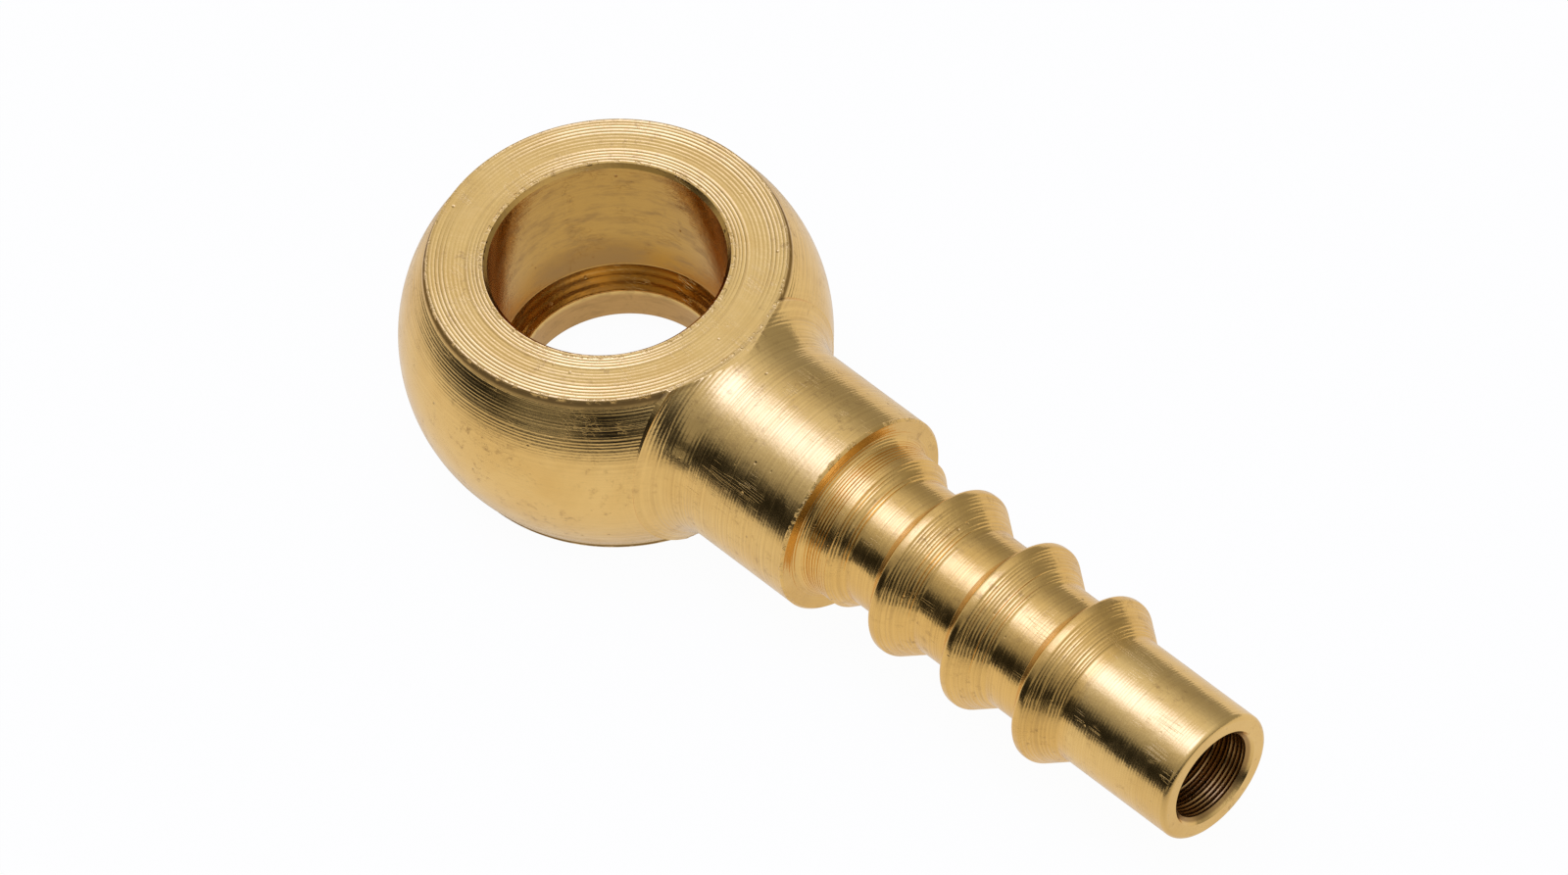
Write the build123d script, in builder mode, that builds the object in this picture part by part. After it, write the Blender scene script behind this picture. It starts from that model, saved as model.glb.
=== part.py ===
from build123d import *
import os
from math import sqrt

# Banjo hose union, turned from brass bar as one piece: a ball-shaped eye with two flat
# sealing faces and a stepped through bore, and a radial stem with a neck, a collar, three
# hose barbs and a drilled passage that opens into the eye's bore.
# Millimetres. Origin at the centre of the eye, +Z along the eye's bore, +X along the stem
# to the hose end.

# Eye: a barrel-sided ball between two flat sealing faces
EYE_DIAMETER = 25.6
EYE_THICKNESS = 13.7
EYE_PROFILE_RADIUS = 11.2
RIM_CHAMFER_WIDTH = 0.25
RIM_CHAMFER_DEPTH = 0.6

# Stepped bore through the eye for the banjo bolt
BORE_DIAMETER = 14.1
BORE_DEPTH = 9.1
BORE_CHAMFER = 0.35
SEAT_DEPTH = 1.3
LOWER_BORE_DIAMETER = 12.1
SEAT_EDGE_RADIUS = 0.4
LOWER_BORE_CHAMFER = 1.2

# Neck: a turned spigot that runs into the collar through a concave fillet
SPIGOT_DIAMETER = 16.4
NECK_FILLET_RADIUS = 3.2
NECK_FILLET_END_X = 12.7

# Collar and its shoulder
COLLAR_DIAMETER = 13.0
COLLAR_END_X = 20.4
COLLAR_EDGE_CHAMFER = 0.15
SHOULDER_FILLET_RADIUS = 0.65
BOSS_DIAMETER = 10.05
BOSS_END_X = 22.45
BOSS_CONE_LENGTH = 1.0

# Hose tail: root cylinder with three barbs
TAIL_DIAMETER = 8.44
TAIL_END_X = 49.2
TAIL_END_RADIUS = 0.35
BARB_COUNT = 3
BARB_PITCH = 5.84
BARB_DIAMETER = 11.1
BARB_FIRST_FOOT_X = 25.55
BARB_RAMP_LENGTH = 1.0
BARB_LAND_LENGTH = 0.5
BARB_TAPER_LENGTH = 1.9
BARB_FOOT_FILLET = 0.25
BARB_CREST_FILLET = 0.35

# Passage from the hose end into the eye's bore
PASSAGE_DIAMETER = 5.7
PASSAGE_CHAMFER = 0.35

half_thickness = EYE_THICKNESS / 2
eye_radius = EYE_DIAMETER / 2
collar_radius = COLLAR_DIAMETER / 2
boss_radius = BOSS_DIAMETER / 2
tail_radius = TAIL_DIAMETER / 2
spigot_radius = SPIGOT_DIAMETER / 2
bore_radius = BORE_DIAMETER / 2
lower_radius = LOWER_BORE_DIAMETER / 2
passage_radius = PASSAGE_DIAMETER / 2

# The barrel side meets the rim chamfer at this height and radius
side_height = half_thickness - RIM_CHAMFER_DEPTH
profile_centre = eye_radius - EYE_PROFILE_RADIUS
side_radius = profile_centre + sqrt(EYE_PROFILE_RADIUS**2 - side_height**2)
face_radius = side_radius - RIM_CHAMFER_WIDTH

# The neck fillet starts where its arc reaches the spigot's radius
neck_rise = NECK_FILLET_RADIUS - (spigot_radius - collar_radius)
neck_run = sqrt(NECK_FILLET_RADIUS**2 - neck_rise**2)
neck_start_x = NECK_FILLET_END_X - neck_run

barb_radius = BARB_DIAMETER / 2
barb_length = BARB_RAMP_LENGTH + BARB_LAND_LENGTH + BARB_TAPER_LENGTH

# Half section of one barb: ramp, land and long taper towards the hose end
with BuildSketch() as barb_section:
    with BuildLine():
        Polyline(
            (0, tail_radius / 2),
            (0, tail_radius),
            (BARB_RAMP_LENGTH, barb_radius),
            (BARB_RAMP_LENGTH + BARB_LAND_LENGTH, barb_radius),
            (barb_length, tail_radius),
            (barb_length, tail_radius / 2),
            close=True,
        )
    make_face()
    fillet(barb_section.vertices().group_by(Axis.Y)[-1], BARB_CREST_FILLET)

with BuildPart() as banjo_body:
    # The ball-shaped eye: a half section turned about the bore axis
    with BuildSketch(Plane.XZ):
        with BuildLine():
            Polyline(
                (side_radius, -side_height),
                (face_radius, -half_thickness),
                (0, -half_thickness),
                (0, half_thickness),
                (face_radius, half_thickness),
                (side_radius, side_height),
            )
            ThreePointArc(
                (side_radius, side_height), (eye_radius, 0), (side_radius, -side_height)
            )
        make_face()
    revolve(axis=Axis.Z)

    # The stem: a half section turned about its own axis, with its barbs
    with BuildSketch(Plane.XZ) as stem_section:
        with BuildLine():
            Polyline((0, 0), (0, spigot_radius), (neck_start_x, spigot_radius))
            RadiusArc(
                (neck_start_x, spigot_radius),
                (NECK_FILLET_END_X, collar_radius),
                -NECK_FILLET_RADIUS,
            )
            Polyline(
                (NECK_FILLET_END_X, collar_radius),
                (COLLAR_END_X, collar_radius),
                (COLLAR_END_X, boss_radius),
                (BOSS_END_X, boss_radius),
                (BOSS_END_X + BOSS_CONE_LENGTH, tail_radius),
                (TAIL_END_X, tail_radius),
                (TAIL_END_X, 0),
                (0, 0),
            )
        make_face()
        corners = stem_section.vertices()
        chamfer(corners.sort_by_distance((COLLAR_END_X, collar_radius))[0], COLLAR_EDGE_CHAMFER)
        corners = stem_section.vertices()
        fillet(corners.sort_by_distance((COLLAR_END_X, boss_radius))[0], SHOULDER_FILLET_RADIUS)
        corners = stem_section.vertices()
        fillet(corners.sort_by_distance((TAIL_END_X, tail_radius))[0], TAIL_END_RADIUS)
        with Locations(*[(BARB_FIRST_FOOT_X + i * BARB_PITCH, 0) for i in range(BARB_COUNT)]):
            add(barb_section.sketch)
        barb_foot_points = [(BARB_FIRST_FOOT_X + i * BARB_PITCH, tail_radius) for i in range(BARB_COUNT)]
        for foot in barb_foot_points:
            fillet(stem_section.vertices().sort_by_distance(foot)[0], BARB_FOOT_FILLET)
    revolve(axis=Axis.X)

    # The two sealing faces are milled flat across the eye and the neck
    split(bisect_by=Plane.XY.offset(half_thickness), keep=Keep.BOTTOM)
    split(bisect_by=Plane.XY.offset(-half_thickness), keep=Keep.TOP)

    # Stepped bore: a wide bore with a conical seat down to the bolt hole
    with BuildSketch(Plane.XZ) as bore_section:
        with BuildLine():
            Polyline(
                (0, half_thickness + 1),
                (bore_radius + BORE_CHAMFER + 1, half_thickness + 1),
                (bore_radius + BORE_CHAMFER, half_thickness),
                (bore_radius, half_thickness - BORE_CHAMFER),
                (bore_radius, half_thickness - BORE_DEPTH),
                (lower_radius, half_thickness - BORE_DEPTH - SEAT_DEPTH),
                (lower_radius, LOWER_BORE_CHAMFER - half_thickness),
                (lower_radius + LOWER_BORE_CHAMFER, -half_thickness),
                (lower_radius + LOWER_BORE_CHAMFER + 1, -half_thickness - 1),
                (0, -half_thickness - 1),
                close=True,
            )
        make_face()
        seat_edge = bore_section.vertices().sort_by_distance(
            (lower_radius, half_thickness - BORE_DEPTH - SEAT_DEPTH)
        )[0]
        fillet(seat_edge, SEAT_EDGE_RADIUS)
    revolve(axis=Axis.Z, mode=Mode.SUBTRACT)

    # Passage along the stem, open into the eye's bore, with a chamfered mouth
    with BuildSketch(Plane.XZ):
        with BuildLine():
            Polyline(
                (0, 0),
                (0, passage_radius),
                (TAIL_END_X - PASSAGE_CHAMFER, passage_radius),
                (TAIL_END_X, passage_radius + PASSAGE_CHAMFER),
                (TAIL_END_X + 1, passage_radius + PASSAGE_CHAMFER),
                (TAIL_END_X + 1, 0),
                close=True,
            )
        make_face()
    revolve(axis=Axis.X, mode=Mode.SUBTRACT)

banjo_body.part.label = "banjo_body"
os.makedirs("parts", exist_ok=True)
export_step(banjo_body.part, "parts/banjo_body.step")
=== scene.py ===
"""Turned brass banjo hose union: looks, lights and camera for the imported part."""

import math
import random
from types import SimpleNamespace

import bmesh
import bpy
from mathutils import Matrix, Vector


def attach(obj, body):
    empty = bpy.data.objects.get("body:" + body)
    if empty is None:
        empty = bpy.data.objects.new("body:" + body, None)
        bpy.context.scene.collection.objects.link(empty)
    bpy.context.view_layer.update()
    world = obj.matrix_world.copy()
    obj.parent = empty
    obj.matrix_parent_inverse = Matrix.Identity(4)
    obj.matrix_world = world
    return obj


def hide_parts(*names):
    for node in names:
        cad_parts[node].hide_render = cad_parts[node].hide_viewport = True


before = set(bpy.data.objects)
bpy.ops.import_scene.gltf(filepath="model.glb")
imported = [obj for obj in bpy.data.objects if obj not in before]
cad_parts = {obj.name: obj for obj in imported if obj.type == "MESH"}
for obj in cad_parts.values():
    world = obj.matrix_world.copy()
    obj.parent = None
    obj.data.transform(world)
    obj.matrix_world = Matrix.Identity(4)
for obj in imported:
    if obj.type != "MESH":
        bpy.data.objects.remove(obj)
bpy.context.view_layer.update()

MM = 0.001

# Sizes of the solids, in millimetres
HALF_THICKNESS = 6.85
EYE_RADIUS = 12.79
EYE_PROFILE_RADIUS = 11.2
RIM_CHAMFER_WIDTH = 0.25
RIM_CHAMFER_DEPTH = 0.6
BORE_RADIUS = 7.05
BORE_DEPTH = 9.1
BORE_CHAMFER = 0.25
SEAT_DEPTH = 1.3
SEAT_EDGE = 0.4
LOWER_RADIUS = 6.05
LOWER_CHAMFER = 1.2
SPIGOT_RADIUS = 8.2
NECK_FILLET_RADIUS = 3.2
NECK_FILLET_END = 12.7
COLLAR_RADIUS = 6.5
COLLAR_END = 20.4
COLLAR_EDGE = 0.15
SHOULDER_FILLET = 0.65
BOSS_RADIUS = 5.025
BOSS_END = 22.45
BOSS_CONE = 1.0
TAIL_RADIUS = 4.22
TAIL_END = 49.2
TAIL_ROUND = 0.35
BARB_COUNT = 3
BARB_PITCH = 5.84
BARB_RADIUS = 5.55
BARB_FOOT = 25.55
BARB_RAMP = 1.0
BARB_LAND = 0.5
BARB_TAPER = 1.9
BARB_CREST_FILLET = 0.35
PASSAGE_RADIUS = 2.85
PASSAGE_CHAMFER = 0.35

# Where the visible piece of the eye hands over to the collar, and the collar to the tail
EYE_PIECE_END = 13.0
COLLAR_PIECE_END = 24.4

# Points round each lathed form
EYE_SEGMENTS = 224
LOWER_FACE_SEGMENTS = 160
NECK_SEGMENTS = 160
BORE_SEGMENTS = 192
PASSAGE_SEGMENTS = 96
COLLAR_SEGMENTS = 144
TAIL_SEGMENTS = 120

# Steps along each rounded stretch, and points along each tool mark
BALL_STEPS = 120
NECK_STEPS = 40
SHOULDER_STEPS = 12
TAIL_END_STEPS = 10
SEAT_STEPS = 8
CREST_STEPS = 6
MARK_SAMPLES = 4
LOWER_FACE_SAMPLES = 3
BORE_WALL_SAMPLES = 2

# How far blanks and cutting forms reach past the finished surface
FACE_OVERCUT = 0.3
FACING_OUTER = 16.0
FACING_INNER = BORE_RADIUS - 1
FACING_HEIGHT = 4
BORE_OVERCUT = 2
NECK_ROOT_X = 8.0
PASSAGE_CUT_END = 15

# Spacing and depth of the tool marks
FACE_MARKS = (0.235, 0.032)
BALL_MARKS = (0.21, 0.022)
NECK_MARKS = (0.24, 0.026)
COLLAR_MARKS = (0.2, 0.014)
TAIL_MARKS = (0.2, 0.012)
SEAT_MARKS = (0.55, 0.03)
PASSAGE_MARKS = (0.28, 0.07)
TAPER_MARKS = (0.21, 0.036)
BORE_WALL_MARKS = (0.4, 0.002)
LIP_MARKS = (0.12, 0.004)
MARK_DRIFT = 0.16
SHALLOWEST_MARK = 0.4
PASSAGE_MARKED_LENGTH = 6
# The ball's marks fade from both rims towards its middle: slope and power
BALL_MARK_FADE = (2.1, 1.5)

# Distances in millimetres below which radii, path points and vertices count as the same
ON_AXIS = 1e-6
SAME_POINT = 1e-5
WELD = 0.0001
SHORTEST_SPAN = 1e-9

# Edges sharper than this, in degrees, stay sharp in the shading
SHARP_ANGLE = 32

rng = random.Random(7)


# ---------------------------------------------------------------- profiles
def arc(centre, radius, start, end, steps):
    """Points on an arc, angles in degrees."""
    points = []
    for i in range(steps + 1):
        a = math.radians(start + (end - start) * i / steps)
        points.append((centre[0] + radius * math.cos(a), centre[1] + radius * math.sin(a)))
    return points


def rounded(before, corner, after, radius, steps=CREST_STEPS):
    """Points of the fillet that rounds a corner between two straight stretches."""
    u = (Vector(before) - Vector(corner)).normalized()
    v = (Vector(after) - Vector(corner)).normalized()
    half = u.angle(v) / 2
    reach = radius / math.tan(half)
    middle = Vector(corner) + (u + v).normalized() * (radius / math.sin(half))
    first = Vector(corner) + u * reach - middle
    last = Vector(corner) + v * reach - middle
    sweep = first.angle_signed(last)
    points = []
    for i in range(steps + 1):
        a = -sweep * i / steps
        turned_ray = Matrix.Rotation(a, 2) @ first
        points.append(tuple(middle + turned_ray))
    return points


def path_lengths(points):
    """Distance along a path to each of its points."""
    lengths = [0.0]
    for a, b in zip(points, points[1:]):
        lengths.append(lengths[-1] + math.hypot(b[0] - a[0], b[1] - a[1]))
    return lengths


def point_at(points, lengths, s):
    """Point and left-hand normal at distance s along a path."""
    i = 0
    while i < len(lengths) - 2 and lengths[i + 1] < s:
        i += 1
    a, b = points[i], points[i + 1]
    span = max(lengths[i + 1] - lengths[i], SHORTEST_SPAN)
    t = (s - lengths[i]) / span
    tx, ty = (b[0] - a[0]) / span, (b[1] - a[1]) / span
    return (a[0] + (b[0] - a[0]) * t, a[1] + (b[1] - a[1]) * t), (-ty, tx)


def turned(points, marks, samples=MARK_SAMPLES, side=-1, fade=None):
    """The path with tool marks: shallow scallops of uneven width and depth, cut to one side."""
    pitch, depth = marks
    lengths = path_lengths(points)
    total = lengths[-1]
    count = max(1, round(total / pitch))
    edges = [0.0]
    for i in range(1, count):
        edges.append(total * (i + rng.uniform(-MARK_DRIFT, MARK_DRIFT)) / count)
    edges.append(total)
    result = []
    for i in range(count):
        cut = depth * rng.uniform(SHALLOWEST_MARK, 1.0)
        for k in range(samples):
            u = k / samples
            s = edges[i] + (edges[i + 1] - edges[i]) * u
            (x, y), (nx, ny) = point_at(points, lengths, s)
            d = side * cut * 4 * u * (1 - u)
            if fade:
                d *= fade(s / total)
            result.append((x + nx * d, y + ny * d))
    result.append(points[-1])
    return result


def distance(a, b):
    return math.hypot(a[0] - b[0], a[1] - b[1])


def chain(*paths):
    """Joins paths end to end without doubling the shared points."""
    result = []
    for path in paths:
        for p in path:
            if not result or distance(p, result[-1]) > SAME_POINT:
                result.append(p)
    if distance(result[0], result[-1]) < SAME_POINT:
        result.pop()
    return result


# ---------------------------------------------------------------- meshes
def lathe(name, profile, segments, axis):
    """A closed solid from a closed half section (along the axis, radius) turned about X or Z."""
    vertices = []
    rings = []
    for along, radius in profile:
        if radius < ON_AXIS:
            vertices.append((along, 0.0, 0.0))
            rings.append([len(vertices) - 1] * segments)
            continue
        ring = []
        for k in range(segments):
            a = 2 * math.pi * k / segments
            vertices.append((along, radius * math.cos(a), radius * math.sin(a)))
            ring.append(len(vertices) - 1)
        rings.append(ring)
    faces = []
    for a, b in zip(rings, rings[1:] + rings[:1]):
        for k in range(segments):
            n = (k + 1) % segments
            corners = [a[k], a[n], b[n], b[k]]
            face = [c for i, c in enumerate(corners) if c not in corners[:i]]
            if len(face) > 2:
                faces.append(face)
    if axis == "Z":
        vertices = [(y * MM, z * MM, x * MM) for x, y, z in vertices]
    else:
        vertices = [(x * MM, y * MM, z * MM) for x, y, z in vertices]
    mesh = bpy.data.meshes.new(name)
    mesh.from_pydata(vertices, [], faces)
    bm = bmesh.new()
    bm.from_mesh(mesh)
    bmesh.ops.recalc_face_normals(bm, faces=bm.faces)
    bm.to_mesh(mesh)
    bm.free()
    piece = bpy.data.objects.new(name, mesh)
    bpy.context.scene.collection.objects.link(piece)
    return piece


def combine(target, tool, operation):
    """Boolean of two closed pieces; the tool is used up."""
    step = target.modifiers.new("combine", "BOOLEAN")
    step.operation = operation
    step.solver = "MANIFOLD"
    step.object = tool
    bpy.context.view_layer.update()
    graph = bpy.context.evaluated_depsgraph_get()
    mesh = bpy.data.meshes.new_from_object(target.evaluated_get(graph))
    target.modifiers.remove(step)
    old = target.data
    target.data = mesh
    bpy.data.meshes.remove(old)
    bpy.data.objects.remove(tool)


def weld(piece):
    """Merges the slivers that the booleans leave."""
    bm = bmesh.new()
    bm.from_mesh(piece.data)
    bmesh.ops.remove_doubles(bm, verts=bm.verts, dist=WELD * MM)
    bm.to_mesh(piece.data)
    bm.free()


def smooth(piece):
    for polygon in piece.data.polygons:
        polygon.use_smooth = True
    piece.data.set_sharp_from_angle(angle=math.radians(SHARP_ANGLE))


# ---------------------------------------------------------------- the eye
side_height = HALF_THICKNESS - RIM_CHAMFER_DEPTH
profile_centre = EYE_RADIUS - EYE_PROFILE_RADIUS
side_angle = math.degrees(math.asin(side_height / EYE_PROFILE_RADIUS))
side_radius = profile_centre + EYE_PROFILE_RADIUS * math.cos(math.radians(side_angle))
face_radius = side_radius - RIM_CHAMFER_WIDTH
seat_z = HALF_THICKNESS - BORE_DEPTH


def swap(points):
    return [(b, a) for a, b in points]


def ball_fade(t):
    slope, power = BALL_MARK_FADE
    return max(0.0, 1 - slope * min(t, 1 - t)) ** power


def make_ball():
    """The eye's blank, a little taller than the finished eye."""
    barrel = swap(arc((profile_centre, 0), EYE_PROFILE_RADIUS, side_angle, -side_angle, BALL_STEPS))
    side = turned(barrel, BALL_MARKS, side=1, fade=ball_fade)
    top = HALF_THICKNESS + FACE_OVERCUT
    rim_radius = face_radius - FACE_OVERCUT * (RIM_CHAMFER_WIDTH / RIM_CHAMFER_DEPTH)
    rim = (top, rim_radius)
    base = (-top, rim_radius)
    return lathe("eye", chain([(top, 0), rim], side, [base, (-top, 0)]), EYE_SEGMENTS, "Z")


def make_neck():
    """The spigot, its fillet and the start of the collar."""
    rise = NECK_FILLET_RADIUS - (SPIGOT_RADIUS - COLLAR_RADIUS)
    start = 180 + math.degrees(math.asin(rise / NECK_FILLET_RADIUS))
    centre = (NECK_FILLET_END, COLLAR_RADIUS + NECK_FILLET_RADIUS)
    fillet = arc(centre, NECK_FILLET_RADIUS, start, 270, NECK_STEPS)
    straight = [(NECK_FILLET_END, COLLAR_RADIUS), (EYE_PIECE_END, COLLAR_RADIUS)]
    path = turned(fillet, NECK_MARKS) + turned(straight, COLLAR_MARKS)
    root = [(NECK_ROOT_X, 0), (NECK_ROOT_X, SPIGOT_RADIUS), (fillet[0][0], SPIGOT_RADIUS)]
    return lathe("neck", chain(root, path, [(EYE_PIECE_END, 0)]), NECK_SEGMENTS, "X")


def make_facing(sign, samples, segments):
    """What the facing cut takes off above (sign 1) or below (sign -1) the eye."""
    face = turned([(0.0, FACING_OUTER), (0.0, FACING_INNER)], FACE_MARKS, samples)
    face = [(sign * (HALF_THICKNESS + a), r) for a, r in face]
    far = sign * (HALF_THICKNESS + FACING_HEIGHT)
    ends = [(far, FACING_INNER)], [(far, FACING_OUTER)]
    return lathe("facing", chain(*ends, face), segments, "Z")


def make_bore():
    """What the boring cuts take out of the eye."""
    wall_path = [(HALF_THICKNESS - BORE_CHAMFER, BORE_RADIUS), (seat_z, BORE_RADIUS)]
    wall = turned(wall_path, BORE_WALL_MARKS, BORE_WALL_SAMPLES)
    lower_end = LOWER_CHAMFER - HALF_THICKNESS
    seat_corner = (seat_z - SEAT_DEPTH, LOWER_RADIUS)
    seat_start = (seat_z, BORE_RADIUS)
    seat_foot = (lower_end, LOWER_RADIUS)
    seat = rounded(seat_start, seat_corner, seat_foot, SEAT_EDGE, SEAT_STEPS)
    mouth = HALF_THICKNESS + BORE_OVERCUT
    foot = -HALF_THICKNESS - BORE_OVERCUT
    profile = chain(
        [(mouth, 0), (mouth, BORE_RADIUS + BORE_CHAMFER + BORE_OVERCUT)],
        wall,
        turned([seat_start, seat[0]], SEAT_MARKS),
        seat,
        [
            seat_foot,
            (foot, LOWER_RADIUS + LOWER_CHAMFER + BORE_OVERCUT),
            (foot, 0),
        ],
    )
    return lathe("bore", profile, BORE_SEGMENTS, "Z")


def make_eye():
    """Ball, neck and the start of the collar, with faced ends and a turned bore."""
    eye = make_ball()
    combine(eye, make_neck(), "UNION")
    combine(eye, make_facing(1, MARK_SAMPLES, EYE_SEGMENTS), "DIFFERENCE")
    combine(eye, make_facing(-1, LOWER_FACE_SAMPLES, LOWER_FACE_SEGMENTS), "DIFFERENCE")
    combine(eye, make_bore(), "DIFFERENCE")
    passage = [
        (0, 0),
        (0, PASSAGE_RADIUS),
        (PASSAGE_CUT_END, PASSAGE_RADIUS),
        (PASSAGE_CUT_END, 0),
    ]
    combine(eye, lathe("passage", passage, PASSAGE_SEGMENTS, "X"), "DIFFERENCE")
    return eye


# ---------------------------------------------------------------- collar, boss and tail
def make_collar():
    """The rest of the collar, its shoulder, the boss and the start of the tail."""
    middle = (COLLAR_END + SHOULDER_FILLET, BOSS_RADIUS + SHOULDER_FILLET)
    shoulder = arc(middle, SHOULDER_FILLET, 180, 270, SHOULDER_STEPS)
    edge = (COLLAR_END, COLLAR_RADIUS - COLLAR_EDGE)
    cone_end = (BOSS_END + BOSS_CONE, TAIL_RADIUS)
    collar = [(EYE_PIECE_END, COLLAR_RADIUS), (COLLAR_END - COLLAR_EDGE, COLLAR_RADIUS)]
    outer = chain(
        turned(collar, COLLAR_MARKS),
        turned([edge, shoulder[0]], TAIL_MARKS),
        turned(shoulder, TAPER_MARKS),
        turned([shoulder[-1], (BOSS_END, BOSS_RADIUS)], TAPER_MARKS),
        turned([(BOSS_END, BOSS_RADIUS), cone_end], TAPER_MARKS),
        turned([cone_end, (COLLAR_PIECE_END, TAIL_RADIUS)], TAIL_MARKS),
    )
    inner = [(COLLAR_PIECE_END, PASSAGE_RADIUS), (EYE_PIECE_END, PASSAGE_RADIUS)]
    return lathe("collar", chain(outer, inner), COLLAR_SEGMENTS, "X")


def make_tail():
    """Barbs, plain end and the marked mouth of the passage."""
    sections = [turned([(COLLAR_PIECE_END, TAIL_RADIUS), (BARB_FOOT, TAIL_RADIUS)], TAIL_MARKS)]
    for i in range(BARB_COUNT):
        foot = (BARB_FOOT + i * BARB_PITCH, TAIL_RADIUS)
        rise = (foot[0] + BARB_RAMP, BARB_RADIUS)
        fall = (rise[0] + BARB_LAND, BARB_RADIUS)
        root = (fall[0] + BARB_TAPER, TAIL_RADIUS)
        plain_end = foot[0] + BARB_PITCH if i < BARB_COUNT - 1 else TAIL_END - TAIL_ROUND
        front = rounded(foot, rise, fall, BARB_CREST_FILLET)
        rear = rounded(rise, fall, root, BARB_CREST_FILLET)
        sections.append([foot] + front + rear)
        sections.append(turned([rear[-1], root], TAPER_MARKS))
        sections.append(turned([root, (plain_end, TAIL_RADIUS)], TAIL_MARKS))
    end = arc((TAIL_END - TAIL_ROUND, TAIL_RADIUS - TAIL_ROUND), TAIL_ROUND, 90, 0, TAIL_END_STEPS)
    lip = (TAIL_END, PASSAGE_RADIUS + PASSAGE_CHAMFER)
    mouth = (TAIL_END - PASSAGE_CHAMFER, PASSAGE_RADIUS)
    sections.append(end)
    sections.append(turned([end[-1], lip], LIP_MARKS))
    marked_end = (TAIL_END - PASSAGE_MARKED_LENGTH, PASSAGE_RADIUS)
    sections.append(turned([mouth, marked_end], PASSAGE_MARKS))
    sections.append([(COLLAR_PIECE_END, PASSAGE_RADIUS)])
    return lathe("tail", chain(*sections), TAIL_SEGMENTS, "X")


# ---------------------------------------------------------------- node helpers
def node(tree, kind, **values):
    item = tree.nodes.new(kind)
    for key, value in values.items():
        setattr(item, key, value)
    return item


def feed(tree, socket, value):
    if isinstance(value, (int, float, tuple)):
        socket.default_value = value
    else:
        tree.links.new(value, socket)


def maths(tree, operation, *values):
    item = node(tree, "ShaderNodeMath", operation=operation)
    for socket, value in zip(item.inputs, values):
        feed(tree, socket, value)
    return item.outputs[0]


def ranged(tree, value, low, high, out_low=0.0, out_high=1.0, smoothed=False):
    item = node(tree, "ShaderNodeMapRange")
    if smoothed:
        item.interpolation_type = "SMOOTHSTEP"
    for socket, number in zip(item.inputs[:5], (value, low, high, out_low, out_high)):
        feed(tree, socket, number)
    return item.outputs[0]


def ramp(tree, value, stops):
    """A grey ramp: pairs of position and brightness."""
    item = node(tree, "ShaderNodeValToRGB")
    elements = item.color_ramp.elements
    while len(elements) < len(stops):
        elements.new(0.5)
    for element, (position, level) in zip(elements, stops):
        element.position = position
        element.color = (level, level, level, 1)
    feed(tree, item.inputs[0], value)
    return item.outputs[0]


def mixed(tree, factor, a, b, kind="RGBA", blend="MIX"):
    item = node(tree, "ShaderNodeMix", data_type=kind, blend_type=blend)
    index = {"FLOAT": (2, 3, 0), "RGBA": (6, 7, 2)}[kind]
    feed(tree, item.inputs[0], factor)
    feed(tree, item.inputs[index[0]], a)
    feed(tree, item.inputs[index[1]], b)
    return item.outputs[index[2]]


def times(tree, first, *others):
    """Product of several values, taken from left to right."""
    result = first
    for other in others:
        result = maths(tree, "MULTIPLY", result, other)
    return result


def toward(tree, x, y, heading):
    """Level direction cosine between a vector and a heading."""
    angle = math.radians(heading)
    part = maths(tree, "MULTIPLY", y, math.sin(angle))
    return maths(tree, "MULTIPLY_ADD", x, math.cos(angle), part)


# ---------------------------------------------------------------- brass
BRASS = (0.93, 0.635, 0.235, 1)
WORN_BRASS = (0.78, 0.47, 0.13, 1)
# Painted shade: darker brass for the whole inside of the bore
SHADED_BORE_BRASS = (0.62, 0.36, 0.08, 1)
AMBER = (0.85, 0.45, 0.06, 1)
# Painted shade with a painted amber glow, low on the bore's wall
BORE_FOOT_SHADE_GLOW = (0.55, 0.27, 0.03, 1)
# Painted shade on the bore's wall below the seat
LOW_BORE_SHADE = (0.6, 0.36, 0.14, 1)
# Real stain for dirt, nicks and tool grooves, also used as painted shade in the bore and the
# passage
STAIN_AND_SHADE = (0.42, 0.25, 0.09, 1)
# Painted dark reflection on the faces' rim chamfers
RIM_SHADE = (0.17, 0.1, 0.035, 1)
# Darker tint for the highlights on the rim chamfers, part of the same painted dark reflection
RIM_SHADE_TINT = (0.5, 0.35, 0.2, 1)
WHITE = (1, 1, 1, 1)
BLACK = (0, 0, 0, 1)

# Where stretches of the surface begin and end, in millimetres: start and end of each blend
FLAT_BLEND = (HALF_THICKNESS - 0.03, HALF_THICKNESS - 0.015)
STEM_BLEND = (8.6, 10.9)
BORE_BLEND = (7.44, 7.5)
PASSAGE_RADIUS_BLEND = (3.0, 3.1)
PASSAGE_START_BLEND = (20.0, 21.0)
# The lower bore wall, which carries painted shade and a painted amber glow
LOW_WALL_BLEND = (seat_z + 0.6, seat_z + 3.2)
LOW_WALL_FOOT = (seat_z, seat_z + 0.2)
SEAT_BLEND = (seat_z - 0.05, seat_z + 0.05)
SEAT_END_BLEND = (seat_z - SEAT_DEPTH - 0.4, seat_z - SEAT_DEPTH - 0.1)
NEAR_RIM_BLEND = (1.5, 6.0)
PLAIN_END_X = BARB_FOOT + 2 * BARB_PITCH + BARB_RAMP + BARB_LAND + BARB_TAPER + 0.6
PLAIN_END_BLEND = (PLAIN_END_X - 0.4, PLAIN_END_X + 0.4)
BARB_ZONE_EDGE = 0.3
# Painted shade on one side of the lower bore wall: its compass angle from +X, and the distances
# along it over which it blends in
FAR_WALL_SHADE_HEADING = 150
FAR_WALL_SHADE_BLEND = (0.8 * BORE_RADIUS, 0.97 * BORE_RADIUS)

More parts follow.
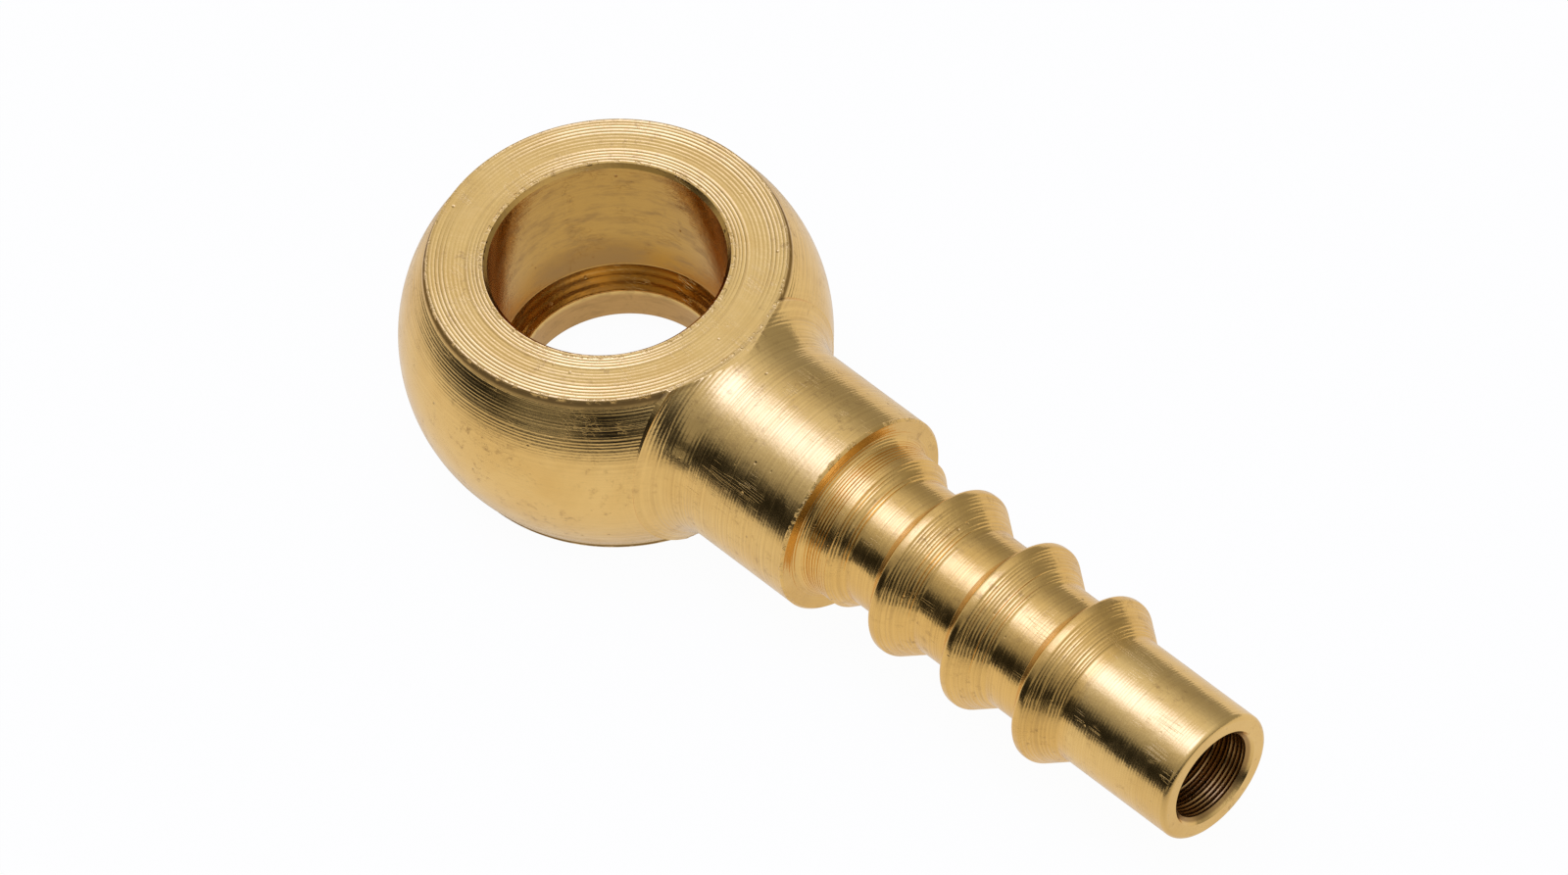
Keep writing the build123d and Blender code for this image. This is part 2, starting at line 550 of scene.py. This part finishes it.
# Edges of the faces and the collar: low limit, high limit and softness
OUTER_EDGE = (face_radius - 0.1, face_radius + 0.12, 0.05)
BORE_EDGE = (BORE_RADIUS + 0.22, BORE_RADIUS + 0.5, 0.05)
EDGE_HEIGHT_BLEND = (HALF_THICKNESS - 0.3, HALF_THICKNESS - 0.1)
COLLAR_EDGE_ZONE = (COLLAR_END - 0.2, COLLAR_END + 0.02, 0.04)
COLLAR_EDGE_BLEND = (6.3, 6.4)
# The rim chamfers, where a painted dark reflection goes
RIM_HEIGHT_ZONE = (side_height + 0.12, HALF_THICKNESS - 0.08, 0.1)
RIM_RADIUS_ZONE = (face_radius - 0.1, side_radius, 0.1)

# Noise textures, in millimetres: scale, detail, roughness and distortion
WAVER_NOISE = (0.35, 1.0)
PATCH_NOISE = (0.5, 3.0)
RIPPLE_NOISE = (1.1, 4.0, 0.66)
GRAIN_NOISE = (5.5, 2.0, 0.7)
SCRATCH_NOISE = (1.0, 1.0)
SCRATCH_PATCH_NOISE = (0.45, 2.0)
BURR_NOISE = (1.6, 4.0, 0.65)
WEAR_NOISE = (0.22, 4.0, 0.6, 0.4)
SPECKLE_NOISE = (1.9, 5.0, 0.7)
BLOTCH_NOISE = (0.3, 2.0)
STREAK_NOISE = (0.75, 4.0, 0.7)
GLOSS_NOISE = (0.8, 5.0, 0.65)

# Heights of the relief, in millimetres
LINE_HEIGHT = 0.013
RIPPLE_HEIGHT = 0.016
GRAIN_HEIGHT = 0.0024
SCRATCH_HEIGHT = -0.004
NICK_HEIGHT = -0.02
BURR_HEIGHT = 0.025

# Tool lines: spacing, waver and how strongly they show on each stretch
LINE_PITCH = 0.19
LINE_WAVER = 0.12
LINE_DETAIL = 2.0
LINE_ROUGHNESS = 0.6
BALL_LINES = (0.12, 1.0)
STEM_LINES = 0.8
PLAIN_END_LINES = 0.3
FACE_LINES = 0.35
BORE_LINES = 0.5
PATCHY_LINES = (0.3, 0.7, 0.4, 1.2)
GROOVE_TINT = (0.36, 0.6, 0.34, 0.0)

# Hairline scratches: one turn and one offset for each direction
SCRATCH_SETS = ((0.7, 3.0), (-0.9, 11.0))
SCRATCH_TILT = (0.4, 0.8)
SCRATCH_STRETCH = (0.14, 2.6, 2.6)
SCRATCH_WIDTH = 0.006
SCRATCH_PATCHES = (0.56, 0.62)
SCRATCH_MIDDLE = 0.5

# Nicks: cells per millimetre, which cells have one, and its reach within the cell
NICK_CELLS = 0.85
NICK_CHOICE = (0.74, 0.76)
NICK_REACH = (0.03, 0.1, 1.0, 0.0)

# Limits between which patches of wear and dirt fade in, and how strongly they and the painted shade
# in the bore, passage and rim show
BURR_PATCHES = (0.52, 0.6)
WEAR_PATCHES = (0.42, 0.7)
SPECKLES = (0.54, 0.7)
BLOTCHES = (0.46, 0.62)
STREAKS = (0.48, 0.68)
STREAK_STRETCH = (0.6, 0.6, 1.8)
WEAR_SHARE = 0.4
# How strongly the painted shade inside the bore shows
BORE_SHADE_SHARE = 0.8
# How strongly the painted shade and amber glow low in the bore show
BORE_FOOT_SHADE_SHARE = 0.85
# How strongly the painted shade on that side of the bore shows
FAR_WALL_SHADE_SHARE = 0.8
# How strongly the painted shade inside the passage shows
PASSAGE_SHADE_SHARE = 0.9
BETWEEN_BARBS_SHARE = 0.25
# How strongly the colour below the seat replaces the rest: clean brass on the seat, painted shade
# beneath it
SEAT_SHARE = 0.85
STREAK_SHARE = 0.8
DIRT_SHARE = 0.75
NICK_SHARE = 0.5
# How strongly the painted dark reflection on the rim chamfers shows
RIM_SHARE = 0.8

# Roughness
PLAIN_ROUGHNESS = (0.3, 0.72, 0.13, 0.25)
BORE_ROUGHNESS = 0.17
PASSAGE_ROUGHNESS = 0.27
DIRT_ROUGHNESS = 0.15
RIM_ROUGHNESS = 0.4


def noise(tree, vector, scale, detail=2.0, rough=0.5, distortion=0.0):
    item = node(tree, "ShaderNodeTexNoise", noise_dimensions="3D")
    feed(tree, item.inputs["Vector"], vector)
    item.inputs["Scale"].default_value = scale
    item.inputs["Detail"].default_value = detail
    item.inputs["Roughness"].default_value = rough
    item.inputs["Distortion"].default_value = distortion
    return item.outputs[0]


def lines(tree, along, waver):
    """Tool lines: noise that varies only along one coordinate, with a slight waver."""
    item = node(tree, "ShaderNodeTexNoise", noise_dimensions="1D")
    steps = maths(tree, "DIVIDE", along, LINE_PITCH)
    feed(tree, item.inputs["W"], maths(tree, "MULTIPLY_ADD", waver, LINE_WAVER, steps))
    item.inputs["Scale"].default_value = 1.0
    item.inputs["Detail"].default_value = LINE_DETAIL
    item.inputs["Roughness"].default_value = LINE_ROUGHNESS
    return item.outputs[0]


def falling(tree, value, low, high, smoothed=False):
    """1 up to the low limit, 0 from the high one."""
    return ranged(tree, value, low, high, 1.0, 0.0, smoothed)


def inside(tree, value, low, high, edge):
    """1 where the value lies between two limits, with soft edges."""
    rise = ranged(tree, value, low - edge, low + edge)
    fall = falling(tree, value, high - edge, high + edge)
    return times(tree, rise, fall)


def surface_zones(tree, place):
    """A point's coordinates in millimetres, and 0 to 1 for each stretch it may lie in."""
    parts = node(tree, "ShaderNodeSeparateXYZ")
    tree.links.new(place, parts.inputs[0])
    x, y, z = parts.outputs
    y2 = times(tree, y, y)
    eye_r = maths(tree, "SQRT", maths(tree, "MULTIPLY_ADD", x, x, y2))
    stem_r = maths(tree, "SQRT", maths(tree, "MULTIPLY_ADD", z, z, y2))
    height = maths(tree, "ABSOLUTE", z)
    flat = ranged(tree, height, *FLAT_BLEND)
    stem = ranged(tree, x, *STEM_BLEND)
    in_bore = times(tree, falling(tree, eye_r, *BORE_BLEND), maths(tree, "SUBTRACT", 1.0, flat))
    in_passage = times(
        tree,
        falling(tree, stem_r, *PASSAGE_RADIUS_BLEND),
        ranged(tree, x, *PASSAGE_START_BLEND),
    )
    # The lower bore wall, where painted shade and a painted amber glow go
    low_wall = times(
        tree,
        falling(tree, z, *LOW_WALL_BLEND, True),
        ranged(tree, z, *LOW_WALL_FOOT),
        in_bore,
    )
    # Painted shade on one side of the bore, by compass angle
    far_wall_shade = toward(tree, x, y, FAR_WALL_SHADE_HEADING)
    far_wall_shade = ranged(tree, far_wall_shade, *FAR_WALL_SHADE_BLEND, 0.0, 1.0, True)
    return SimpleNamespace(
        x=x,
        z=z,
        eye_r=eye_r,
        stem_r=stem_r,
        height=height,
        flat=flat,
        stem=stem,
        in_bore=in_bore,
        in_passage=in_passage,
        low_wall=low_wall,
        far_wall_shade=far_wall_shade,
    )


def tool_lines(tree, place, zone):
    """Lines that follow the turning: their height, and how strongly they show."""
    waver = noise(tree, place, *WAVER_NOISE)
    ring_lines = lines(tree, zone.eye_r, waver)
    level_lines = lines(tree, zone.z, waver)
    stem_lines = lines(tree, zone.x, waver)
    body_lines = mixed(tree, zone.stem, level_lines, stem_lines, "FLOAT")
    cut = mixed(tree, zone.flat, body_lines, ring_lines, "FLOAT")
    near_rim = ranged(tree, zone.height, *NEAR_RIM_BLEND, *BALL_LINES)
    plain_end = ranged(tree, zone.x, *PLAIN_END_BLEND)
    stem_strength = mixed(tree, plain_end, STEM_LINES, PLAIN_END_LINES, "FLOAT")
    strength = mixed(tree, zone.stem, near_rim, stem_strength, "FLOAT")
    strength = mixed(tree, zone.flat, strength, FACE_LINES, "FLOAT")
    strength = mixed(tree, zone.in_bore, strength, BORE_LINES, "FLOAT")
    patchy = ranged(tree, noise(tree, place, *PATCH_NOISE), *PATCHY_LINES)
    return cut, times(tree, strength, patchy)


def add_scratches(tree, place, relief):
    """Hairline scratches in two directions."""
    for turn, offset in SCRATCH_SETS:
        stretch = node(tree, "ShaderNodeMapping")
        tree.links.new(place, stretch.inputs["Vector"])
        stretch.inputs["Location"].default_value = (offset, offset * 2, offset * 3)
        stretch.inputs["Rotation"].default_value = (SCRATCH_TILT[0] * turn, SCRATCH_TILT[1], turn)
        stretch.inputs["Scale"].default_value = SCRATCH_STRETCH
        wave = noise(tree, stretch.outputs[0], *SCRATCH_NOISE)
        ridge = maths(tree, "ABSOLUTE", maths(tree, "SUBTRACT", wave, SCRATCH_MIDDLE))
        hair = falling(tree, ridge, 0.0, SCRATCH_WIDTH)
        sparse = ranged(tree, noise(tree, place, *SCRATCH_PATCH_NOISE), *SCRATCH_PATCHES)
        scratch = times(tree, hair, sparse)
        relief = maths(tree, "MULTIPLY_ADD", scratch, SCRATCH_HEIGHT, relief)
    return relief


def nicks(tree, place):
    """Small pits, one in some of the cells."""
    cells = node(tree, "ShaderNodeTexVoronoi", feature="F1")
    tree.links.new(place, cells.inputs["Vector"])
    cells.inputs["Scale"].default_value = NICK_CELLS
    choice = node(tree, "ShaderNodeSeparateColor")
    tree.links.new(cells.outputs["Color"], choice.inputs[0])
    chosen = ranged(tree, choice.outputs[0], *NICK_CHOICE)
    return times(tree, ranged(tree, cells.outputs["Distance"], *NICK_REACH), chosen)


def burrs(tree, place, zone):
    """Ragged burrs on the edges of the faces and on the collar's end."""
    outer_edge = inside(tree, zone.eye_r, *OUTER_EDGE)
    bore_edge = inside(tree, zone.eye_r, *BORE_EDGE)
    face_edge = maths(tree, "MAXIMUM", outer_edge, bore_edge)
    face_edge = times(tree, face_edge, ranged(tree, zone.height, *EDGE_HEIGHT_BLEND))
    collar_edge = inside(tree, zone.x, *COLLAR_EDGE_ZONE)
    collar_edge = times(tree, collar_edge, ranged(tree, zone.stem_r, *COLLAR_EDGE_BLEND))
    edge = maths(tree, "MAXIMUM", face_edge, collar_edge)
    return times(tree, ranged(tree, noise(tree, place, *BURR_NOISE), *BURR_PATCHES), edge)


def base_colour(tree, place, zone):
    """Clean brass, worn warmer in patches, with painted shade in the bore, in the passage and below
    the seat, and painted shade with a painted amber glow near the bore's foot, darkest on its far
    side.
    """
    wear = ranged(tree, noise(tree, place, *WEAR_NOISE), *WEAR_PATCHES)
    colour = mixed(tree, times(tree, wear, WEAR_SHARE), BRASS, WORN_BRASS)
    # Painted shade over the inside of the bore
    colour = mixed(tree, times(tree, zone.in_bore, BORE_SHADE_SHARE), colour, SHADED_BORE_BRASS)
    # Painted shade and a painted amber glow low on the bore's wall
    colour = mixed(tree, times(tree, zone.low_wall, BORE_FOOT_SHADE_SHARE), colour, BORE_FOOT_SHADE_GLOW)
    # Painted shade on one side of the lower bore wall
    far_wall_shaded = times(tree, zone.low_wall, zone.far_wall_shade, FAR_WALL_SHADE_SHARE)
    colour = mixed(tree, far_wall_shaded, colour, STAIN_AND_SHADE)
    # Painted shade inside the tail's passage
    colour = mixed(tree, times(tree, zone.in_passage, PASSAGE_SHADE_SHARE), colour, STAIN_AND_SHADE)
    between_barbs = inside(tree, zone.x, COLLAR_END, PLAIN_END_X, BARB_ZONE_EDGE)
    colour = mixed(tree, times(tree, between_barbs, BETWEEN_BARBS_SHARE), colour, AMBER)
    # Below the seat: clean brass on the seat itself, painted shade on the wall beneath it
    below_seat = times(tree, zone.in_bore, falling(tree, zone.z, *SEAT_BLEND))
    seat_colour = mixed(tree, ranged(tree, zone.z, *SEAT_END_BLEND), LOW_BORE_SHADE, BRASS)
    return mixed(tree, times(tree, below_seat, SEAT_SHARE), colour, seat_colour)


def dirt_amount(tree, place, zone, nick):
    """Specks in blotches everywhere, streaks in the bore, and dirt in the nicks."""
    speckle = ranged(tree, noise(tree, place, *SPECKLE_NOISE), *SPECKLES)
    blotch = ranged(tree, noise(tree, place, *BLOTCH_NOISE), *BLOTCHES)
    squat = node(tree, "ShaderNodeVectorMath", operation="MULTIPLY")
    tree.links.new(place, squat.inputs[0])
    squat.inputs[1].default_value = STREAK_STRETCH
    streak = ranged(tree, noise(tree, squat.outputs[0], *STREAK_NOISE), *STREAKS)
    streak = times(tree, streak, zone.in_bore, STREAK_SHARE)
    dirt = maths(tree, "MAXIMUM", times(tree, speckle, blotch), streak)
    return maths(tree, "MAXIMUM", times(tree, dirt, DIRT_SHARE), times(tree, nick, NICK_SHARE))


def brass_material():
    """Brass whose tool lines follow the way each stretch was turned."""
    material = bpy.data.materials.new("turned_brass")
    material.use_nodes = True
    tree = material.node_tree
    shader = tree.nodes["Principled BSDF"]
    coords = node(tree, "ShaderNodeTexCoord").outputs["Object"]
    scaled = node(tree, "ShaderNodeVectorMath", operation="SCALE")
    tree.links.new(coords, scaled.inputs[0])
    scaled.inputs["Scale"].default_value = 1 / MM
    place = scaled.outputs[0]
    zone = surface_zones(tree, place)

    cut, strength = tool_lines(tree, place, zone)
    nick = nicks(tree, place)
    burr = burrs(tree, place, zone)
    relief = times(tree, times(tree, cut, LINE_HEIGHT), strength)
    ripple = noise(tree, place, *RIPPLE_NOISE)
    grain = noise(tree, place, *GRAIN_NOISE)
    relief = maths(tree, "MULTIPLY_ADD", ripple, RIPPLE_HEIGHT, relief)
    relief = maths(tree, "MULTIPLY_ADD", grain, GRAIN_HEIGHT, relief)
    relief = add_scratches(tree, place, relief)
    relief = maths(tree, "MULTIPLY_ADD", nick, NICK_HEIGHT, relief)
    relief = maths(tree, "MULTIPLY_ADD", burr, BURR_HEIGHT, relief)
    bump = node(tree, "ShaderNodeBump")
    tree.links.new(relief, bump.inputs["Height"])
    bump.inputs["Distance"].default_value = MM
    bump.inputs["Strength"].default_value = 1.0
    tree.links.new(bump.outputs[0], shader.inputs["Normal"])

    colour = base_colour(tree, place, zone)
    groove = times(tree, ranged(tree, cut, *GROOVE_TINT), strength)
    colour = mixed(tree, groove, colour, STAIN_AND_SHADE)
    dirt = dirt_amount(tree, place, zone, nick)
    colour = mixed(tree, dirt, colour, STAIN_AND_SHADE)
    # Painted dark reflection on the rim chamfers, broken by the burrs
    rim = inside(tree, zone.height, *RIM_HEIGHT_ZONE)
    rim = times(tree, rim, inside(tree, zone.eye_r, *RIM_RADIUS_ZONE))
    shade_off_burrs = maths(tree, "SUBTRACT", RIM_SHARE, times(tree, burr, RIM_SHARE))
    rim = times(tree, rim, shade_off_burrs)
    tree.links.new(mixed(tree, rim, colour, RIM_SHADE), shader.inputs["Base Color"])

    rough = ranged(tree, noise(tree, place, *GLOSS_NOISE), *PLAIN_ROUGHNESS)
    rough = mixed(tree, zone.in_bore, rough, BORE_ROUGHNESS, "FLOAT")
    rough = mixed(tree, zone.in_passage, rough, PASSAGE_ROUGHNESS, "FLOAT")
    rough = maths(tree, "MULTIPLY_ADD", dirt, DIRT_ROUGHNESS, rough)
    rough = maths(tree, "MULTIPLY_ADD", rim, RIM_ROUGHNESS, rough)
    tree.links.new(rough, shader.inputs["Roughness"])
    # The painted dark reflection also tints the chamfers' highlights
    tree.links.new(mixed(tree, rim, WHITE, RIM_SHADE_TINT), shader.inputs["Specular Tint"])
    shader.inputs["Metallic"].default_value = 1.0
    return material


# ---------------------------------------------------------------- build
brass = brass_material()
pieces = [make_eye(), make_collar(), make_tail()]
weld(pieces[0])
for piece in pieces:
    smooth(piece)
    piece.data.materials.clear()
    piece.data.materials.append(brass)
    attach(piece, "root")
    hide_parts("banjo_body")


# ---------------------------------------------------------------- studio
FLOOR_HALF = 6.0
FLOOR_GREY = (0.85, 0.85, 0.85, 1)
FLOOR_GLOW = (0.78, 0.74, 0.71, 1)
FLOOR_GLOW_SHARE = 0.97
FLOOR_DIM = 0.05
# Where the floor's glow, as seen in the brass, fades: metres along two compass angles
FRONT_FADE = (0.036, 0.13)
SIDE_FADE = (0.035, 0.095)
# Shade beneath the eye: radii of its blend, and the glow that is left
UNDER_EYE = (0.007, 0.016, 0.87)

# Sky patches: colour, middle and the radii between which they fade; OVAL counts X as shorter
SOFTBOX = (0.95, 1.2, 2.9, 1)
SOFTBOX_SPOT = (-0.12, -0.05)
SOFTBOX_RADII = (0.12, 0.46)
HALO = (0.46, 0.47, 0.52, 1)
HALO_SPOT = (-0.1, 0.03)
HALO_RADII = (0.36, 0.86)
OVAL = 0.5
HORIZON_BLEND = (0.05, 0.3)

# The room's grey level across Y, and its tint
ROOM_LEVELS = [(0.0, 0.42), (0.12, 0.3), (0.25, 0.25), (0.5, 0.25), (0.8, 0.34), (1.0, 0.34)]
ROOM = (0.95, 0.92, 0.88, 1)

# Unlit stretches of the room, by compass angle from +X
DARK_FRONT = -38
DARK_BETWEEN = -80
DARK_SIDE = -120
# Each stretch: heading, spread as a cosine, and heights of its bottom and top
DARK_STRETCHES = (
    (DARK_FRONT, 0.82, -1.2, 0.42),
    (DARK_SIDE, 0.86, -1.2, 0.5),
    (DARK_BETWEEN, 0.8, 0.07, 0.36),
)
DARK_EDGE = 0.14
DARK_STRENGTH = 0.96
DARK_TOP_BLEND = (-0.15, 0.1)
DARK_BOTTOM_BLEND = 0.12
# Keeps the root of 1 - z * z above zero at the zenith
ZENITH_GUARD = 1.0001


def glow_disc(tree, x, y, spot, full, end):
    """An oval patch of sky, longer along X, that fades between two radii."""
    dx = times(tree, maths(tree, "SUBTRACT", x, spot[0]), OVAL)
    dy = maths(tree, "SUBTRACT", y, spot[1])
    away = maths(tree, "SQRT", maths(tree, "MULTIPLY_ADD", dx, dx, times(tree, dy, dy)))
    return falling(tree, away, full, end, True)


def floor_material():
    """Mostly glow to the camera and in reflections, matt to all other light."""
    material = bpy.data.materials.new("floor_white")
    material.use_nodes = True
    tree = material.node_tree
    tree.nodes.clear()
    paths = node(tree, "ShaderNodeLightPath").outputs
    glossy = maths(tree, "MAXIMUM", paths["Is Glossy Ray"], paths["Is Transmission Ray"])
    seen = maths(tree, "MAXIMUM", paths["Is Camera Ray"], glossy)
    split = node(tree, "ShaderNodeSeparateXYZ")
    tree.links.new(node(tree, "ShaderNodeTexCoord").outputs["Object"], split.inputs[0])
    x, y = split.outputs["X"], split.outputs["Y"]
    front = ranged(tree, toward(tree, x, y, DARK_FRONT), *FRONT_FADE, 1.0, FLOOR_DIM)
    side = ranged(tree, toward(tree, x, y, DARK_SIDE), *SIDE_FADE, 1.0, FLOOR_DIM)
    y2 = times(tree, y, y)
    from_eye = maths(tree, "SQRT", maths(tree, "MULTIPLY_ADD", x, x, y2))
    shade = ranged(tree, from_eye, *UNDER_EYE, 1.0, True)
    dim = times(tree, front, side, shade)
    lit = mixed(tree, dim, BLACK, FLOOR_GLOW)
    glow = node(tree, "ShaderNodeEmission")
    tree.links.new(mixed(tree, glossy, WHITE, lit), glow.inputs["Color"])
    matt = node(tree, "ShaderNodeBsdfDiffuse")
    matt.inputs["Color"].default_value = FLOOR_GREY
    mix = node(tree, "ShaderNodeMixShader")
    tree.links.new(times(tree, seen, FLOOR_GLOW_SHARE), mix.inputs[0])
    tree.links.new(matt.outputs[0], mix.inputs[1])
    tree.links.new(glow.outputs[0], mix.inputs[2])
    tree.links.new(mix.outputs[0], node(tree, "ShaderNodeOutputMaterial").inputs[0])
    return material


def make_floor():
    mesh = bpy.data.meshes.new("floor")
    h = FLOOR_HALF
    z = -HALF_THICKNESS * MM
    mesh.from_pydata([(-h, -h, z), (h, -h, z), (h, h, z), (-h, h, z)], [], [(0, 1, 2, 3)])
    mesh.materials.append(floor_material())
    floor = bpy.data.objects.new("floor", mesh)
    bpy.context.scene.collection.objects.link(floor)


def dark_stretches(tree, x, y, z, room):
    """The room with its unlit stretches."""
    level_reach = maths(tree, "SQRT", maths(tree, "SUBTRACT", ZENITH_GUARD, times(tree, z, z)))
    level_x = maths(tree, "DIVIDE", x, level_reach)
    level_y = maths(tree, "DIVIDE", y, level_reach)
    for heading, spread, bottom, top in DARK_STRETCHES:
        facing = toward(tree, level_x, level_y, heading)
        shade = times(
            tree,
            ranged(tree, facing, spread, spread + DARK_EDGE, 0.0, DARK_STRENGTH, True),
            falling(tree, z, top + DARK_TOP_BLEND[0], top + DARK_TOP_BLEND[1], True),
            ranged(tree, z, bottom, bottom + DARK_BOTTOM_BLEND),
        )
        room = times(tree, room, maths(tree, "SUBTRACT", 1.0, shade))
    return room


def make_world():
    """A soft light overhead with a bright middle, in a room that is lighter towards +Y."""
    world = bpy.data.worlds.new("studio")
    bpy.context.scene.world = world
    world.use_nodes = True
    tree = world.node_tree
    tree.nodes.clear()
    split = node(tree, "ShaderNodeSeparateXYZ")
    tree.links.new(node(tree, "ShaderNodeTexCoord").outputs["Generated"], split.inputs[0])
    x, y, z = split.outputs
    reach = maths(tree, "SQRT", maths(tree, "MULTIPLY_ADD", y, y, times(tree, z, z)))
    across = maths(tree, "MULTIPLY_ADD", maths(tree, "DIVIDE", y, reach), 0.5, 0.5)
    above = ranged(tree, z, *HORIZON_BLEND)
    core = times(tree, above, glow_disc(tree, x, y, SOFTBOX_SPOT, *SOFTBOX_RADII))
    halo = times(tree, above, glow_disc(tree, x, y, HALO_SPOT, *HALO_RADII))
    room = dark_stretches(tree, x, y, z, ramp(tree, across, ROOM_LEVELS))
    light = mixed(tree, room, BLACK, ROOM)
    light = mixed(tree, halo, light, HALO, blend="ADD")
    light = mixed(tree, core, light, SOFTBOX, blend="ADD")
    background = node(tree, "ShaderNodeBackground")
    tree.links.new(light, background.inputs["Color"])
    background.inputs["Strength"].default_value = 1.0
    tree.links.new(background.outputs[0], node(tree, "ShaderNodeOutputWorld").inputs[0])


make_floor()
make_world()


# ---------------------------------------------------------------- camera
# Angles in degrees, distance in metres from the eye's centre
AZIMUTH = 50.31
ELEVATION = 50.99
ROLL = -6.48
DISTANCE = 1.0168
PIXELS_PER_MM = 17.4
EYE_CENTRE_PX = (628.55, 339.53)
IMAGE_PX = (1600, 893)
SENSOR = 36
CLIP_START = 0.01
CLIP_END = 50


def make_camera():
    """Looks along the photographed direction, with the eye's centre at its pixel."""
    azimuth, elevation, roll = (math.radians(a) for a in (AZIMUTH, ELEVATION, ROLL))
    back = Vector((
        math.sin(azimuth) * math.cos(elevation),
        -math.cos(azimuth) * math.cos(elevation),
        math.sin(elevation),
    ))
    flat_right = Vector((math.cos(azimuth), math.sin(azimuth), 0))
    flat_up = back.cross(flat_right)
    right = math.cos(roll) * flat_right + math.sin(roll) * flat_up
    up = -math.sin(roll) * flat_right + math.cos(roll) * flat_up
    move_right = (EYE_CENTRE_PX[0] - IMAGE_PX[0] / 2) / PIXELS_PER_MM * MM
    move_up = (IMAGE_PX[1] / 2 - EYE_CENTRE_PX[1]) / PIXELS_PER_MM * MM
    place = back * DISTANCE - right * move_right - up * move_up
    data = bpy.data.cameras.new("camera")
    data.sensor_width = SENSOR
    data.lens = SENSOR * PIXELS_PER_MM * DISTANCE / MM / IMAGE_PX[0]
    data.clip_start = CLIP_START
    data.clip_end = CLIP_END
    camera = bpy.data.objects.new("camera", data)
    bpy.context.scene.collection.objects.link(camera)
    turn = Matrix((right, up, back)).transposed().to_4x4()
    camera.matrix_world = Matrix.Translation(place) @ turn
    return camera


camera = make_camera()
bpy.context.scene.camera = camera
bpy.context.scene.view_settings.view_transform = "Standard"
